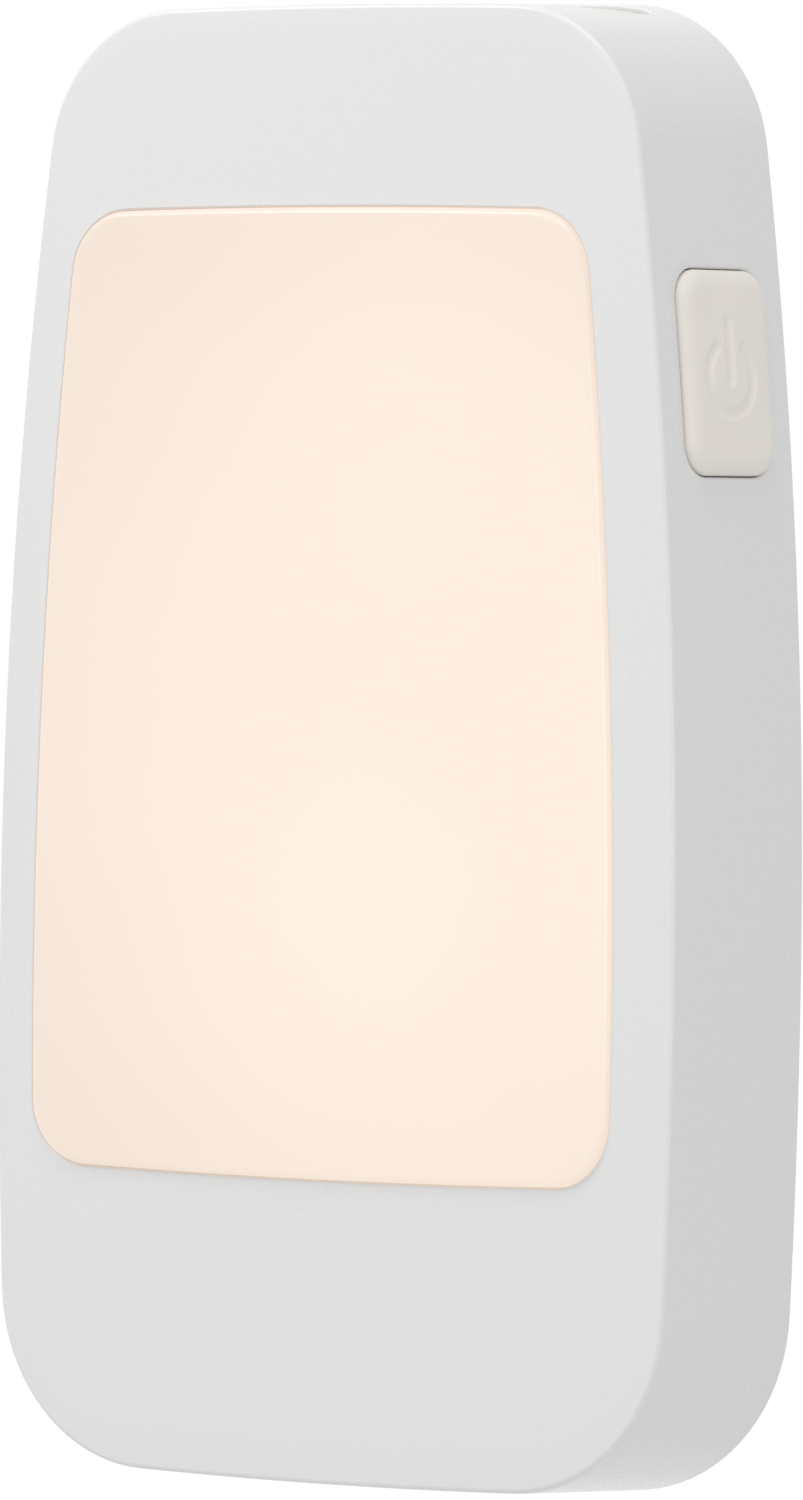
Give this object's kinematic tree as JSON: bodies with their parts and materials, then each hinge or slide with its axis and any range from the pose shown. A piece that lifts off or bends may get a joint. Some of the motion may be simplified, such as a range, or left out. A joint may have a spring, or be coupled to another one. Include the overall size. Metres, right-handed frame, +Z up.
{
  "type": "plug in night light",
  "caption": "Slim plug-in night light with a tall milky diffuser, a side power button, a torch window in the top and a folding two-blade plug.",
  "frame": {"origin": "midway between the two plug blades, in the plane of the wall that the back lies against", "axes": "+X to the right as the lit front is seen, +Y out of the back into the wall, +Z up"},
  "size_m": [0.0626, 0.0328, 0.11],
  "materials": {
    "shell_white": "fine matt moulded ABS",
    "cover_white": "matt moulded ABS",
    "diffuser_milky": "milky acrylic, lit warm from behind",
    "tray_white": "glossy white",
    "board_white": "white solder mask",
    "board_green": "green solder mask",
    "lamp_chip": "yellow phosphor",
    "sensor_dark": "smoked resin",
    "component_black": "moulded epoxy",
    "component_yellow": "boxed film capacitor",
    "component_blue": "coated resistor",
    "capacitor_can": "sleeved can",
    "silicone_ivory": "satin silicone rubber",
    "plunger_white": "moulded nylon",
    "lens_ivory": "clouded acrylic",
    "reflector_metal": "vacuum metallised",
    "battery_wrap": "shrink sleeve",
    "nickel_strip": "nickel strip",
    "foam_dark": "foam",
    "lead_red": "insulated lead",
    "lead_black": "insulated lead",
    "screw_steel": "zinc plated",
    "plug_nylon": "pale glass-filled nylon",
    "blade_brass": "nickel-plated brass",
    "contact_bronze": "phosphor bronze",
    "spring_steel": "spring steel"
  },
  "bodies": {
    "housing": {"front_shell": "shell_white", "rear_cover": "cover_white", "cover_screws": "screw_steel", "diffuser": "diffuser_milky", "reflector_tray": "tray_white", "led_board": "board_white", "night_led_upper": "lamp_chip", "night_led_lower": "lamp_chip", "light_sensor": "sensor_dark", "main_board": "board_green", "board_screws": "screw_steel", "mains_capacitor": "component_yellow", "smoothing_capacitor": "capacitor_can", "rectifier": "component_black", "controller_chip": "component_black", "inductor": "component_black", "fuse_resistor": "component_blue", "led_header": "component_black", "tact_switch": "component_black", "flashlight_lens": "lens_ivory", "flashlight_reflector": "reflector_metal", "flashlight_led": "lamp_chip", "flashlight_board": "board_white", "flashlight_wires": "lead_red", "battery_cell_1": "battery_wrap", "battery_cell_2": "battery_wrap", "battery_cell_3": "battery_wrap", "battery_tabs": "nickel_strip", "battery_pad": "foam_dark", "battery_wire_red": "lead_red", "battery_wire_black": "lead_black", "plug_cradle": "plug_nylon", "cradle_screws": "screw_steel", "contact_left": "contact_bronze", "contact_right": "contact_bronze", "detent_spring": "spring_steel"},
    "plug": {"plug_carrier": "plug_nylon", "blade_left": "blade_brass", "blade_right": "blade_brass"},
    "button": {"power_button": "silicone_ivory"},
    "plunger": {"switch_plunger": "plunger_white"}
  },
  "joints": [
    {"name": "plug_fold", "type": "hinge", "parent": "housing", "child": "plug", "pos_m": [0, -0.0039, 0], "axis": [-1, 0, 0], "range_deg": [0, 90]},
    {"name": "button_press", "type": "slide", "parent": "housing", "child": "button", "axis": [-0.9953, 0, -0.0968], "range_m": [0, 0.0005], "stiffness_N_per_m": 400, "springref_m": -0.001},
    {"name": "plunger_press", "type": "slide", "parent": "housing", "child": "plunger", "axis": [-0.9953, 0, -0.0968], "range_m": [0, 0.0005]}
  ],
  "couplings": [
    {"joint": "plunger_press", "follows": "button_press", "ratio": 1}
  ]
}
